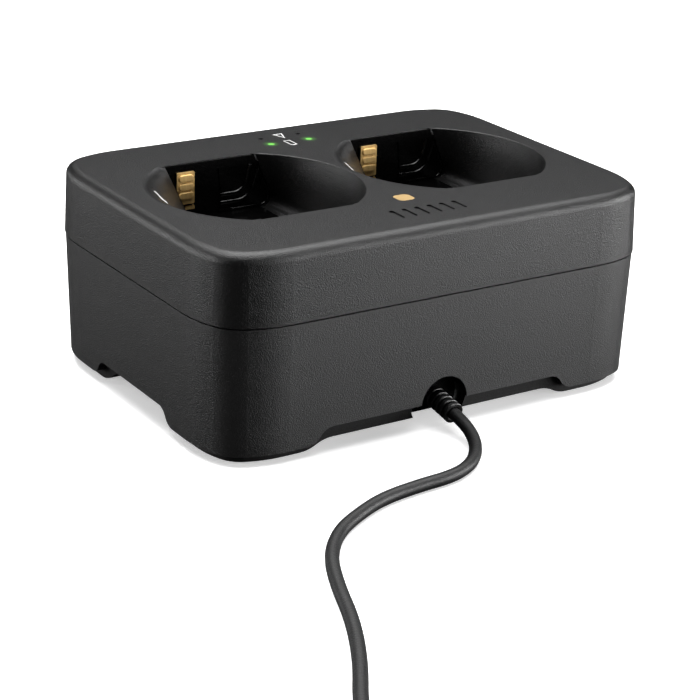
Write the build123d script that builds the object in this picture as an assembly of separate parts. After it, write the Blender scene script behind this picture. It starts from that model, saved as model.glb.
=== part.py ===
from build123d import *
import os
from math import atan, atan2, cos, degrees, pi, radians, sin, tan

# A two-bay charging dock for flat rechargeable packs, with a captive USB lead.
# Millimetres, +Z up. The origin is on the table, under the middle of the housing.
# The status lights are towards -Y and the lead leaves the rear face towards +Y.

# ---- Housing ----------------------------------------------------------------
WIDTH = 140.0            # along X, at the seam
DEPTH = 103.2            # along Y, at the seam
SEAM_Z = 38.6            # lower edge of the upper housing
TOP_Z = 57.9             # flat top face
SKIRT_Z = 3.0            # lower edge of the lower housing
SEAM_GAP = 0.5           # shadow gap between the two housings
WALL = 2.4
TOP_SKIN = 2.2
UPPER_DRAFT = 0.75       # how far the upper wall leans in, bottom to top
LOWER_TAPER = 1.2        # how far the lower wall leans in, top to bottom
TOP_EDGE_R = 3.0
LIP_RISE = 3.0           # tongue of the lower housing, inside the upper one
LIP_WALL = 1.2
LIP_CLEARANCE = 0.15

# Each corner is three tangent arcs: wide, tight, wide.
CORNER_WIDE_R = 31.3
CORNER_TIGHT_R = 12.0
CORNER_WIDE_TURN = 22.0  # degrees turned by each wide arc

# ---- Bays -------------------------------------------------------------------
BAY_X = 30.7             # each bay's centre, either side of the middle
BAY_Y = -1.4
BAY_HALF_FLAT = 26.5     # each bay is cut flat at this distance, front and rear
# For the bay's -X and +X end: where its scoop starts and how far its rim reaches, from
# the bay's centre at the top face, and the half-length of the scoop's foot.
SCOOPS = {-1: (16.1, 30.6, 26.5), 1: (13.1, 29.0, 23.5)}
BAY_DEPTH = 16.1
BAY_SLANT = 0.42         # drift towards -X for each millimetre of depth
BAY_FLOOR_BULGE = 0.8
BAY_COVE_R = 2.6         # rounding between scoop and floor
LINER_FLOOR_INSET = {-1: 4.8, 1: 2.4}    # the liner's floor starts beyond that rounding
SCOOP_ROOT = 3.0         # how far a scoop's air overlaps the slot between the scoops
SLOT_CORNER_R = 3.4      # lower corners of the slot's air
SLOT_LOW_GAP = 0.6       # how far the slot's air stays inside the -X scoop's
SCOOP_WALL = 2.2
RIM_SOFT_R = 2.2         # +X end of each rim
RIM_CRISP_R = 0.3        # -X end of each rim
LINER_WALL = 1.6
LINER_FLOOR = 1.8
LINER_RECESS = 0.5       # the liner's walls stand back behind the scoops' edges
LINER_LIP = 0.6          # their upper edge, turned in flush with the mouth of the slot
LINER_LIP_DROP = 0.25    # and below the top face
LINER_LIP_ROOT = 0.6     # and lapped this far down the wall
LINER_CORNER_R = 3.0     # lower corners of the liner's long walls
LINER_BEAD_R = 0.35      # rounded bead round the contact wall's border
FIT = 0.05               # gap between pieces that are fitted together
CUT_PAST = 2.0           # how far a cut runs past the face that it opens

BAY_FLOOR_Z = TOP_Z - BAY_DEPTH
LINER_TOP_Z = TOP_Z - TOP_SKIN - FIT
LINER_BASE_Z = BAY_FLOOR_Z - LINER_FLOOR
LINER_HALF = BAY_HALF_FLAT + LINER_RECESS + LINER_WALL
LIP_Z = (LINER_TOP_Z - LINER_LIP_ROOT, TOP_Z - LINER_LIP_DROP)
FRONT_WALL_Y = BAY_Y - BAY_HALF_FLAT - LINER_RECESS      # face of the bay's contact wall
LINER_BACK_Y = FRONT_WALL_Y - LINER_WALL

# ---- Sprung contacts --------------------------------------------------------
CONTACT_DX = 6.7         # contact strip, from the bay's centre
CONTACT_WIDTH = 5.5
CONTACT_HEIGHT = 9.4
CONTACT_CUT = (1.95, 4.4)        # lower +X corner cut away, beside the slanted scoop
CONTACT_TOP_DROP = 2.4   # below the top face
CONTACT_PROUD = 1.2
CONTACT_PLATE = 0.5
CONTACT_TRAVEL = 0.8
RIDGE_PITCH = 2.55
RIDGE_FIRST_DROP = 1.75  # first ridge, below the strip's upper end
RIDGE_SIZE = (4.8, 2.1, 0.45)
RIDGE_COUNT = 3
TAB_X = (3.7, 6.7)       # small lower contact, from the bay's centre
TAB_DROP = (12.5, 13.6)  # and below the top face
TAB_SET_BACK = 0.4
CARRIER_FLANGE = 1.2
CARRIER_GAP = 0.1        # between the flange and the back of the contact wall
CARRIER_MARGIN = 1.2     # how far the flange stands out round the opening
WINDOW_CLEARANCE = 0.25
SPRING_R = 1.7
SPRING_WIRE_R = 0.22
SPRING_LENGTH = 4.2
SPRING_TURNS = 4
SPRING_PIN_R = SPRING_R - SPRING_WIRE_R - 0.15
SPRING_Z = TOP_Z - CONTACT_TOP_DROP - CONTACT_HEIGHT / 2
BRACKET_WALL = 1.2
BRACKET_HALF = 4.55      # inner half-width of the bracket

# ---- Ribs on the contact wall, from the bay's centre and below the top face ---
RIB_R = 0.62
UPPER_RIB = [(-5.0, 10.9), (-12.9, 10.9), (-14.7, 3.2)]
LOWER_RIB = [(-5.0, 13.3), (-14.6, 13.3), (-17.3, 5.2)]
RIB_BEND_R = (4.6, 5.6)  # of the upper and the lower rib
STEP_TOP = (-4.2, 2.3)   # slanted flat rib: x and drop of its upper end
STEP_FOOT = (-5.0, 10.6)
STEP_WIDTH = 1.3
STEP_PROUD = 0.4
KEY_X = (-8.2, -4.2)     # low block on the bay's floor
KEY_SIZE = (1.0, 0.9)

# ---- Lower housing and base -------------------------------------------------
ARCH_RISE = 4.5
REAR_ARCH = (43.5, 35.5)         # half-lengths of the skirt arch: at its foot and its top
SIDE_ARCH = (23.5, 16.2)
BASE_GAP = 0.2
BASE_BOTTOM_Z = 0.4
BASE_TOP_Z = 9.4
BASE_LEAN = 0.4
BASE_REAR_TUNNEL = (44.0, 34.0, 2.6)     # foot half-length, top half-length, rise
BASE_SIDE_TUNNEL = (24.0, 10.0, 5.0)
BASE_BAND = 2.4
BASE_PLATE_Z = (5.4, 7.4)
BASE_NOTCH_R = 9.0       # upper part of the notch for the lead
FLOOR_Z = (10.0, 12.0)           # inner floor of the lower housing
FOOT_PAD = (53.5, 35.5)
FOOT_PAD_R = 5.5
FOOT_PAD_DEEP = 1.2
BASE_SCREW = (39.0, 29.0)
LINER_POST_DX = -10.7    # a liner's screws, from the bay's centre
LINER_POST_OUT = 5.6     # and beyond its contact wall

# ---- Boards -----------------------------------------------------------------
BOARD_SIZE = (104.0, 48.0, 1.6)
BOARD_Y = -12.0
BOARD_Z = 17.0
BOARD_TOP_Z = BOARD_Z + FIT + BOARD_SIZE[2]
BOARD_SCREW = (47.0, 19.0)       # from the board's centre
HEADER_Y = 9.0
HEADER_Z = BOARD_TOP_Z + 2.75
LIGHT_X = (-7.3, 5.5)
CHARGE_LIGHT_Y = -34.3
FAULT_LIGHT_Y = -40.4
CHARGE_LENS_R = 0.95
FAULT_LENS_R = 0.75
LIGHT_BOARD = (30.0, 11.0, 1.2)
LIGHT_BOARD_Z = 48.8
LIGHT_BOARD_Y = -36.6
LIGHT_POST_X = 12.0
LED_SIZE = (1.6, 1.6, 0.9)

# ---- Marks on the top face --------------------------------------------------
BADGE_Y = 26.5
BADGE_SIDE = 5.0
BADGE_CORNER_R = 1.5
BARS_Y = 38.1
BAR_PITCH = 4.0
BAR_COUNT = 6
BAR_LENGTH = 6.6
BAR_WIDTH = 1.5
BAR_DEPTH = 0.45

# ---- Lead -------------------------------------------------------------------
CORD_D = 3.5
EXIT_X = 0.5
EXIT_Z = 7.3
EXIT_R = 7.3             # round recess in the rear face
GLAND_WALL_Y = (42.6, 45.0)
RELIEF_R = 2.95
RELIEF_NECK_R = 2.1      # through the wall
RELIEF_CORE_R = 2.0      # between the ribs, outside the wall
RELIEF_DROOP = 10.0      # degrees that the sleeve hangs down outside the wall
RELIEF_RIBS = 4
RELIEF_END_Y = 55.2      # before the sleeve hangs down
RELIEF_CUP = 0.6         # depth of the open collar at the end
CLAMP_Y = 36.5
CLAMP_TOP_Z = EXIT_Z - CORD_D / 2
CLAMP_POST_DX = 9.2
CORD_ROUTE = [
    (0.5, 54.454, 5.633),
    (0.5, 59.181, 4.799),
    (1.2, 65.0, 3.2),
    (4.4, 71.2, 1.9),
    (10.6, 77.2, 1.75),
    (18.6, 80.7, 1.75),
    (29.5, 81.2, 1.75),
    (41.5, 83.0, 1.75),
    (51.5, 87.4, 1.75),
    (61.0, 93.2, 1.75),
    (69.2, 102.6, 1.75),
    (75.4, 115.6, 1.75),
    (81.2, 131.2, 1.75),
    (89.4, 147.0, 1.75),
    (99.4, 162.2, 1.85),
    (107.1, 179.06, 2.1),
    (112.92, 195.04, 2.35),
]
COIL_CENTRE = (135.0, 187.0)
COIL_MEAN_R = 20.0
COIL_TURNS_WIDE = 3
COIL_TURNS_HIGH = 2
COIL_LIFT = 0.6          # thickness of the tie under the coil
TIE_ANGLE = 131.0        # degrees round the coil where the tie starts
TIE_TURN = 18.0          # degrees of the coil that the tie covers
TIE_BAND = 0.55
TAIL_ROUTE = [
    (123.25, 207.35, 5.85),
    (129.6, 211.0, 5.6),
    (138.2, 213.8, 4.0),
    (147.6, 214.2, 2.2),
    (156.6, 211.4, 1.75),
    (163.8, 205.6, 2.6),
    (169.4, 199.4, 4.0),
    (174.4, 193.3, 4.0),
]

# ---- Plug, along +X from the end of the tail ---------------------------------
PLUG_BOOT = (2.5, 3.5, 6.5)      # end radii and length
PLUG_BODY = (19.0, 15.6, 7.8)
PLUG_SHELL = (12.0, 12.0, 4.5)   # length outside the body, width and height
PLUG_SHELL_WALL = 0.35
PLUG_SHELL_ROOT = 4.0            # length held inside the body
PLUG_WINDOW = 2.4
PLUG_TONGUE = 1.9                # height of the insulator
PLUG_PIN_X = 7.6
PLUG_FACE_X = PLUG_BOOT[2] + PLUG_BODY[0]


# ---- Small helpers ----------------------------------------------------------

def block(x, y, z):
    """Box between two values along each axis."""
    size = (x[1] - x[0], y[1] - y[0], z[1] - z[0])
    return Pos((x[0] + x[1]) / 2, (y[0] + y[1]) / 2, (z[0] + z[1]) / 2) * Box(*size)


def post(x, y, z, radius):
    """Upright cylinder between two heights."""
    return Pos(x, y, (z[0] + z[1]) / 2) * Cylinder(radius, z[1] - z[0])


def rod_y(x, y, z, radius):
    """Cylinder along Y between two values."""
    turn = Pos(x, (y[0] + y[1]) / 2, z) * Rot(90, 0, 0)
    return turn * Cylinder(radius, y[1] - y[0])


def four_signs(x, y):
    """The four points (+-x, +-y)."""
    return [(sx * x, sy * y) for sx in (-1, 1) for sy in (-1, 1)]


def soft_outline(inset, z):
    """Face of the housing's outline, drawn in by inset, with three-arc corners."""
    wide = CORNER_WIDE_R - inset
    tight = CORNER_TIGHT_R - inset
    turn = radians(CORNER_WIDE_TURN)
    extent = wide * (sin(turn) + 1 - cos(turn)) + tight * (cos(turn) - sin(turn))
    edges = []
    corner_start = None
    for quarter in range(4):
        half = (WIDTH / 2 - inset, DEPTH / 2 - inset)
        along, across = half if quarter % 2 == 0 else half[::-1]
        first = Vector(along - extent, -across + wide)
        middle = first + Vector(sin(turn), -cos(turn)) * (wide - tight)
        last = Vector(along - wide, -across + extent)
        arcs = [
            CenterArc(first, wide, -90, CORNER_WIDE_TURN),
            CenterArc(middle, tight, CORNER_WIDE_TURN - 90, 90 - 2 * CORNER_WIDE_TURN),
            CenterArc(last, wide, -CORNER_WIDE_TURN, CORNER_WIDE_TURN),
        ]
        turned = [Rot(0, 0, 90 * quarter) * arc for arc in arcs]
        if edges:
            edges.append(Line(edges[-1] @ 1, turned[0] @ 0))
        else:
            corner_start = turned[0] @ 0
        edges += turned
    edges.append(Line(edges[-1] @ 1, corner_start))
    return Pos(0, 0, z) * make_face(Curve() + edges)


def soft_body(low, high):
    """Solid between two soft outlines, each given as (inset, z)."""
    return loft([soft_outline(*low), soft_outline(*high)], ruled=True)


def arch_profile(foot_half, top_half, rise, base_z, below):
    """Face in XZ of a long arch whose ends are S-curves, open downwards."""
    run = foot_half - top_half
    turn = degrees(2 * atan(rise / run))
    radius = (rise ** 2 + run ** 2) / (4 * rise)
    up = JernArc((-foot_half, base_z), (1, 0), radius, turn)
    over = JernArc(up @ 1, up % 1, radius, -turn)
    left = Curve() + [up, over]
    right = mirror(left, about=Plane.YZ)
    top = Line((-top_half, base_z + rise), (top_half, base_z + rise))
    floor = Polyline((-foot_half, base_z), (-foot_half, below), (foot_half, below), (foot_half, base_z))
    return make_face(Curve() + [left, right, top, floor])


def arch_cut(profile, along_x):
    """Long solid that cuts an arch through a wall, along X or along Y."""
    upright = Rot(90, 0, 0) * profile
    solid = extrude(upright, WIDTH, both=True)
    return Rot(0, 0, 90) * solid if along_x else solid


def screw(head_r, head_h, shank_r, length):
    """Cross-head screw that points up, its head's underside at the origin."""
    head = Pos(0, 0, -head_h / 2) * Cylinder(head_r, head_h)
    shank = Pos(0, 0, length / 2) * Cylinder(shank_r, length)
    arm = Box(head_r * 1.3, head_r * 0.3, head_h)
    slot = Pos(0, 0, -head_h) * (arm + Rot(0, 0, 90) * arm)
    return head + shank - slot


# ---- Bay shapes -------------------------------------------------------------

def end_edge(x, bulge, half_width):
    """Edge from the front to the rear of a bay, bowed by bulge."""
    front, rear = (x, BAY_Y - half_width), (x, BAY_Y + half_width)
    return ThreePointArc(front, (x + bulge, BAY_Y), rear) if bulge else Line(front, rear)


def bay_outline(low, high, half_width, z):
    """Face with straight front and rear edges; each end is given as (x, bulge)."""
    ends = [end_edge(*low, half_width), end_edge(*high, half_width)]
    front = Line(ends[0] @ 0, ends[1] @ 0)
    rear = Line(ends[0] @ 1, ends[1] @ 1)
    return Pos(0, 0, z) * make_face(Curve() + [front, ends[1], rear, ends[0]])


def slot_x(centre_x, side, z):
    """The slot's -X or +X wall at a height: it leans towards -X with depth."""
    return centre_x + side * SCOOPS[side][0] - BAY_SLANT * (TOP_Z - z)


def scoop_void(centre_x, side):
    """The air of one bowed end of a bay, from above the rim down to the floor."""
    start, reach, foot_half = SCOOPS[side]
    faces = []
    for z, half, bulge in ((BAY_FLOOR_Z, foot_half, BAY_FLOOR_BULGE), (TOP_Z, BAY_HALF_FLAT, reach - start)):
        x = slot_x(centre_x, side, z)
        root = (x - side * SCOOP_ROOT, 0)
        faces.append(bay_outline(*sorted((root, (x, side * bulge))), half, z))
    air = loft(faces, ruled=True)
    foot = air.edges().filter_by(GeomType.CIRCLE).group_by(Axis.Z)[0]
    return fillet(foot, BAY_COVE_R) + extrude(faces[1], CUT_PAST)


def slot_section(centre_x, low_z, high_z, gaps):
    """Slanted section of the slot between two heights, drawn in by gaps at -X and +X."""
    gap = dict(zip((-1, 1), gaps))
    points = [(slot_x(centre_x, side, z) - side * gap[side], z)
              for side, z in ((-1, low_z), (1, low_z), (1, high_z), (-1, high_z))]
    return make_face(Polyline(*points, close=True))


def along_bay(section, half_width):
    """Section in XZ run along Y, either way from the bay's middle."""
    return Pos(0, BAY_Y, 0) * extrude(Rot(90, 0, 0) * section, half_width, both=True)


def slot_block(centre_x, top_z, half_width, gaps, corner_r):
    """The slot from its floor up, with rounded lower corners."""
    section = slot_section(centre_x, BAY_FLOOR_Z, top_z, gaps)
    return along_bay(fillet(section.vertices().group_by(Axis.Y)[0], corner_r), half_width)


def bay_skin(centre_x):
    """Block that leaves the scoops' walls once the bay's air is cut from it."""
    rim, floor = [], []
    for side in (-1, 1):
        start, reach = SCOOPS[side][:2]
        rim.append((centre_x + side * start, side * (reach + SCOOP_WALL - start)))
        floor.append((slot_x(centre_x, side, LINER_BASE_Z) + side * SCOOP_WALL, side * BAY_FLOOR_BULGE))
    return loft([bay_outline(*floor, LINER_HALF, LINER_BASE_Z), bay_outline(*rim, LINER_HALF, TOP_Z - 1)],
                ruled=True)


def liner_block(centre_x, gap):
    """The liner's outer shape: the slot with its floor, drawn in by gap at each end."""
    floor_x = [slot_x(centre_x, side, BAY_FLOOR_Z) - side * (LINER_FLOOR_INSET[side] + gap)
               for side in (-1, 1)]
    floor = block(floor_x, (BAY_Y - LINER_HALF, BAY_Y + LINER_HALF), (LINER_BASE_Z, BAY_FLOOR_Z + gap))
    return slot_block(centre_x, LINER_TOP_Z, LINER_HALF, (gap, gap), LINER_CORNER_R) + floor


def post_places(centre_x):
    """Where a liner's two screws are: one in front of the bay, one behind it."""
    x = centre_x + LINER_POST_DX
    reach = BAY_HALF_FLAT + LINER_POST_OUT
    return [(x, BAY_Y - reach), (x, BAY_Y + reach)]


# ---- Upper housing ----------------------------------------------------------

def upper_housing():
    outer = soft_body((0, SEAM_Z), (UPPER_DRAFT, TOP_Z))
    outer = fillet(outer.edges().group_by(Axis.Z)[-1], TOP_EDGE_R)
    inner = soft_body((WALL, SEAM_Z), (WALL + UPPER_DRAFT, TOP_Z - TOP_SKIN))
    shell = outer - inner
    for centre_x in (-BAY_X, BAY_X):
        shell += bay_skin(centre_x)
    for centre_x in (-BAY_X, BAY_X):
        shell -= scoop_void(centre_x, -1)
        shell -= scoop_void(centre_x, 1)
    shell = soften_rims(shell)
    for centre_x in (-BAY_X, BAY_X):
        mouth_half = BAY_HALF_FLAT + LINER_LIP
        shell -= slot_block(centre_x, TOP_Z + CUT_PAST, mouth_half, (SLOT_LOW_GAP, 0), SLOT_CORNER_R)
        shell -= liner_block(centre_x, 0)
    for side in (-1, 1):
        for x, y in post_places(side * BAY_X):
            shell += post(x, y, (BAY_FLOOR_Z + FIT, TOP_Z - TOP_SKIN), 3.0)
            shell -= post(x, y, (BAY_FLOOR_Z, BAY_FLOOR_Z + 9), 1.1)
        light_post = (side * LIGHT_POST_X, LIGHT_BOARD_Y)
        shell += post(*light_post, (LIGHT_BOARD_Z + LIGHT_BOARD[2], TOP_Z - TOP_SKIN), 2.2)
        shell -= post(*light_post, (LIGHT_BOARD_Z, LIGHT_BOARD_Z + 5), 0.8)
    for x, y, radius in sum(light_places(), []):
        shell -= post(x, y, (TOP_Z - TOP_SKIN - 1, TOP_Z + 1), radius + FIT)
    shell -= Pos(0, BADGE_Y, TOP_Z) * badge_blank(BADGE_SIDE + 2 * FIT, 1.6)
    for index in range(BAR_COUNT):
        x = (index - (BAR_COUNT - 1) / 2) * BAR_PITCH
        bar = Rot(0, 0, 90) * SlotOverall(BAR_LENGTH, BAR_WIDTH)
        shell -= Pos(x, BARS_Y, TOP_Z - BAR_DEPTH) * extrude(bar, 1)
    return shell


def soften_rims(shell):
    """Rounds the bowed ends of both rims: wide at +X, small at -X."""
    for side, radius in ((1, RIM_SOFT_R), (-1, RIM_CRISP_R)):
        tips = [Vector(s * BAY_X + side * SCOOPS[side][1], BAY_Y, TOP_Z) for s in (-1, 1)]
        arcs = shell.edges().filter_by(GeomType.CIRCLE)
        rims = [e for e in arcs if min(((e @ 0.5) - tip).length for tip in tips) < 0.1]
        shell = fillet(rims, radius)
    return shell


def badge_blank(side, thickness):
    """Plain rounded square that hangs below the origin."""
    return extrude(RectangleRounded(side, side, BADGE_CORNER_R), -thickness)


# ---- Bay liner and its contact ----------------------------------------------

def contact_outline(centre_x, grow):
    """Face in XZ of the contact, with its lower +X corner cut away, grown all round."""
    x = centre_x + CONTACT_DX
    half = CONTACT_WIDTH / 2 + grow
    top = TOP_Z - CONTACT_TOP_DROP + grow
    foot = TOP_Z - CONTACT_TOP_DROP - CONTACT_HEIGHT - grow
    cut_x, cut_z = CONTACT_CUT
    points = [(x - half, top), (x - half, foot), (x + half - cut_x, foot), (x + half, foot + cut_z),
              (x + half, top)]
    return Rot(90, 0, 0) * make_face(Polyline(*points, close=True))


def tab_block(centre_x, y, grow):
    """Box of the small lower contact, grown all round."""
    return block((centre_x + TAB_X[0] - grow, centre_x + TAB_X[1] + grow), y,
                 (TOP_Z - TAB_DROP[1] - grow, TOP_Z - TAB_DROP[0] + grow))


def contact_block(centre_x, y, grow):
    """Prism of the contact's outline between two values of Y."""
    prism = extrude(contact_outline(centre_x, grow), y[1] - y[0], dir=(0, 1, 0))
    return Pos(0, y[0], 0) * prism


def tab_neck(centre_x, y, grow):
    """Box that joins the small lower contact to the main one."""
    foot = TOP_Z - CONTACT_TOP_DROP - CONTACT_HEIGHT
    return block((centre_x + TAB_X[0] - grow, centre_x + TAB_X[1] + grow), y,
                 (TOP_Z - TAB_DROP[1] - grow, foot + grow + 0.5))


def wall_rod(centre_x, route, bend_r, radius):
    """Rounded rib half sunk in the contact wall, along points given as (x, drop)."""
    points = [(centre_x + x, FRONT_WALL_Y, TOP_Z - drop) for x, drop in route]
    path = FilletPolyline(*points, radius=bend_r)
    return sweep(Plane(path @ 0, z_dir=path % 0) * Circle(radius), path)


def wall_bead(centre_x):
    """Bead down the -X border of the contact wall, round its corner and along its foot."""
    inset = LINER_BEAD_R + 2 * FIT
    top_drop = TOP_Z - LINER_TOP_Z + 2 * FIT
    foot_drop = BAY_DEPTH - inset
    low_x = inset - SCOOPS[-1][0]
    route = [(low_x - BAY_SLANT * top_drop, top_drop), (low_x - BAY_SLANT * foot_drop, foot_drop),
             (KEY_X[0], foot_drop)]
    return wall_rod(centre_x, route, LINER_CORNER_R - inset, LINER_BEAD_R)


def flat_rib(centre_x):
    """Low slanted rib on the contact wall."""
    (top_x, top_drop), (foot_x, foot_drop) = STEP_TOP, STEP_FOOT
    points = [(top_x, top_drop), (foot_x, foot_drop), (foot_x - STEP_WIDTH, foot_drop),
              (top_x - STEP_WIDTH, top_drop)]
    corners = [(centre_x + x, TOP_Z - drop) for x, drop in points]
    profile = Rot(90, 0, 0) * make_face(Polyline(*corners, close=True))
    return Pos(0, FRONT_WALL_Y - FIT, 0) * extrude(profile, STEP_PROUD + FIT, dir=(0, 1, 0))


def bay_liner(centre_x):
    """Floor and both long walls of a bay, hung from the upper housing by two screws."""
    past = (-1, -1)
    liner = liner_block(centre_x, FIT)
    lip = slot_section(centre_x, *LIP_Z, (SLOT_LOW_GAP + FIT, FIT))
    liner += along_bay(lip, BAY_HALF_FLAT + LINER_LIP - FIT)
    liner -= slot_block(centre_x, LIP_Z[0], BAY_HALF_FLAT + LINER_RECESS, past, BAY_COVE_R)
    liner -= along_bay(slot_section(centre_x, LIP_Z[0] - 1, TOP_Z, past), BAY_HALF_FLAT)
    for x, y in post_places(centre_x):
        inner_y = BAY_Y + (LINER_HALF - 1) * (1 if y > BAY_Y else -1)
        tab = block((x - 4, x + 4), sorted((inner_y, y)), (LINER_BASE_Z, BAY_FLOOR_Z))
        liner += tab + post(x, y, (LINER_BASE_Z, BAY_FLOOR_Z), 4.0)
    liner += wall_rod(centre_x, UPPER_RIB, RIB_BEND_R[0], RIB_R)
    liner += wall_rod(centre_x, LOWER_RIB, RIB_BEND_R[1], RIB_R)
    liner += wall_bead(centre_x)
    liner += flat_rib(centre_x)
    key_y = (FRONT_WALL_Y - FIT, FRONT_WALL_Y + KEY_SIZE[0])
    key_z = (BAY_FLOOR_Z - FIT, BAY_FLOOR_Z + KEY_SIZE[1])
    liner += block((centre_x + KEY_X[0], centre_x + KEY_X[1]), key_y, key_z)
    through = (LINER_BACK_Y - 1, FRONT_WALL_Y + 1)
    liner -= contact_block(centre_x, through, WINDOW_CLEARANCE)
    liner -= tab_neck(centre_x, through, WINDOW_CLEARANCE)
    for x, y in post_places(centre_x):
        liner -= post(x, y, (LINER_BASE_Z - 1, BAY_FLOOR_Z + 1), 1.5)
    return liner


def contact_strip(centre_x):
    """Two plated contacts: a large one with raised oblongs, and a small one below it."""
    face_y = FRONT_WALL_Y + CONTACT_PROUD
    plate = contact_block(centre_x, (face_y - CONTACT_PLATE, face_y), 0)
    plate = fillet(plate.edges().filter_by(Axis.Y), 0.4)
    length, width, height = RIDGE_SIZE
    for index in range(RIDGE_COUNT):
        z = TOP_Z - CONTACT_TOP_DROP - RIDGE_FIRST_DROP - index * RIDGE_PITCH
        ridge = extrude(SlotOverall(length, width), -height)
        ridge = fillet(ridge.edges().group_by(Axis.Z)[0], 0.35)
        plate += Pos(centre_x + CONTACT_DX, face_y, z) * Rot(90, 0, 0) * ridge
    tab_y = face_y - TAB_SET_BACK
    tab = tab_block(centre_x, (tab_y - CONTACT_PLATE, tab_y), 0)
    return [plate, fillet(tab.edges().filter_by(Axis.Y), 0.3)]


def contact_carrier(centre_x):
    """Moulded block that carries the contacts through the wall and is held by its flange."""
    x = centre_x + CONTACT_DX
    front = FRONT_WALL_Y + CONTACT_PROUD - CONTACT_PLATE
    seat = spring_seat_y()
    neck = contact_block(centre_x, (seat, front), 0)
    neck += tab_neck(centre_x, (seat, front - TAB_SET_BACK), 0)
    half = CONTACT_WIDTH / 2 + CARRIER_MARGIN
    top = TOP_Z - CONTACT_TOP_DROP
    flange = block((x - half, x + half), (seat, seat + CARRIER_FLANGE),
                   (TOP_Z - TAB_DROP[1] - CARRIER_MARGIN, top - 0.6))
    pin = rod_y(x, (seat - 1.0, seat + 0.2), SPRING_Z, SPRING_PIN_R)
    return neck + flange + pin


def spring_seat_y():
    """Face of the carrier's flange that the spring pushes on."""
    return LINER_BACK_Y - CARRIER_GAP - CARRIER_FLANGE


def contact_spring(centre_x):
    """Small compression spring along Y, between the carrier and its bracket."""
    coil_length = SPRING_LENGTH - 2 * SPRING_WIRE_R - 0.04
    path = Helix(coil_length / SPRING_TURNS, coil_length, SPRING_R)
    section = Plane(path @ 0, z_dir=path % 0) * Circle(SPRING_WIRE_R)
    coil = sweep(section, path, is_frenet=True)
    start_y = spring_seat_y() - SPRING_WIRE_R - 0.02
    return Pos(centre_x + CONTACT_DX, start_y, SPRING_Z) * Rot(90, 0, 0) * coil


def spring_bracket(centre_x):
    """U-shaped holder behind the contact wall that backs the spring."""
    x = centre_x + CONTACT_DX
    back_y = spring_seat_y() - SPRING_LENGTH
    outer_half = BRACKET_HALF + BRACKET_WALL
    z = (TOP_Z - TAB_DROP[1] - CARRIER_MARGIN, TOP_Z - TOP_SKIN - 1.0)
    outer = block((x - outer_half, x + outer_half), (back_y - BRACKET_WALL, LINER_BACK_Y - FIT), z)
    inner = block((x - BRACKET_HALF, x + BRACKET_HALF), (back_y, LINER_BACK_Y + 1), (z[0] - 1, z[1] + 1))
    pin = rod_y(x, (back_y - 0.2, back_y + 0.9), SPRING_Z, SPRING_PIN_R)
    return outer - inner + pin


def liner_screws():
    places = [p for side in (-1, 1) for p in post_places(side * BAY_X)]
    return [Pos(x, y, LINER_BASE_Z - FIT) * screw(2.6, 1.6, 1.05, 8.5) for x, y in places]


# ---- Lower housing and base -------------------------------------------------

def lower_housing():
    top_z = SEAM_Z - SEAM_GAP
    outer = soft_body((LOWER_TAPER, SKIRT_Z), (0.25, top_z))
    inner = soft_body((LOWER_TAPER + WALL, SKIRT_Z - 1), (0.25 + WALL, top_z + 1))
    lip_out = WALL + LIP_CLEARANCE
    lip = soft_body((lip_out, top_z - 2.5), (lip_out, SEAM_Z + LIP_RISE))
    lip -= soft_body((lip_out + LIP_WALL, top_z - 3.5), (lip_out + LIP_WALL, SEAM_Z + LIP_RISE + 1))
    floor = soft_body((LOWER_TAPER + 1, FLOOR_Z[0]), (LOWER_TAPER + 1, FLOOR_Z[1]))
    shell = outer - inner + lip + floor
    shell -= arch_cut(arch_profile(*REAR_ARCH, ARCH_RISE, SKIRT_Z, -1), along_x=False)
    shell -= arch_cut(arch_profile(*SIDE_ARCH, ARCH_RISE, SKIRT_Z, -1), along_x=True)
    for x, y in four_signs(*BOARD_SCREW):
        shell += post(x, BOARD_Y + y, (FLOOR_Z[0], BOARD_Z), 3.0)
        shell -= post(x, BOARD_Y + y, (FLOOR_Z[1] - 1, BOARD_Z + 1), 1.0)
    for x, y in four_signs(*BASE_SCREW):
        shell += post(x, y, (BASE_PLATE_Z[1] + FIT, FLOOR_Z[1] + 4), 3.2)
        shell -= post(x, y, (BASE_PLATE_Z[1], FLOOR_Z[1] + 3), 1.1)
    return cable_outlet(shell)


def cable_outlet(shell):
    """Round recess in the rear face, with the wall that holds the strain relief."""
    well = block((EXIT_X - 6.5, EXIT_X + 6.5), (14.0, GLAND_WALL_Y[0]), (FLOOR_Z[0] - 1, FLOOR_Z[1] + 1))
    shell -= well
    shell -= rod_y(EXIT_X, (GLAND_WALL_Y[1], DEPTH), EXIT_Z, EXIT_R)
    wall = block((EXIT_X - 10, EXIT_X + 10), GLAND_WALL_Y, (3.4, 16.4))
    wall -= rod_y(EXIT_X, (0, DEPTH), EXIT_Z, RELIEF_NECK_R + FIT)
    ears = [block((EXIT_X + s * 8.8 - 1.2, EXIT_X + s * 8.8 + 1.2), (GLAND_WALL_Y[1] - 0.5, 49.0),
                  (FLOOR_Z[0] + 0.5, 16.4)) for s in (-1, 1)]
    shell += wall + ears
    for x in clamp_post_x():
        shell += post(x, CLAMP_Y, (CLAMP_TOP_Z + FIT, FLOOR_Z[0] + 0.5), 2.2)
        shell -= post(x, CLAMP_Y, (CLAMP_TOP_Z, FLOOR_Z[0] + 1.0), 0.8)
    return shell


def clamp_post_x():
    return (EXIT_X - CLAMP_POST_DX, EXIT_X + CLAMP_POST_DX)


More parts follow.
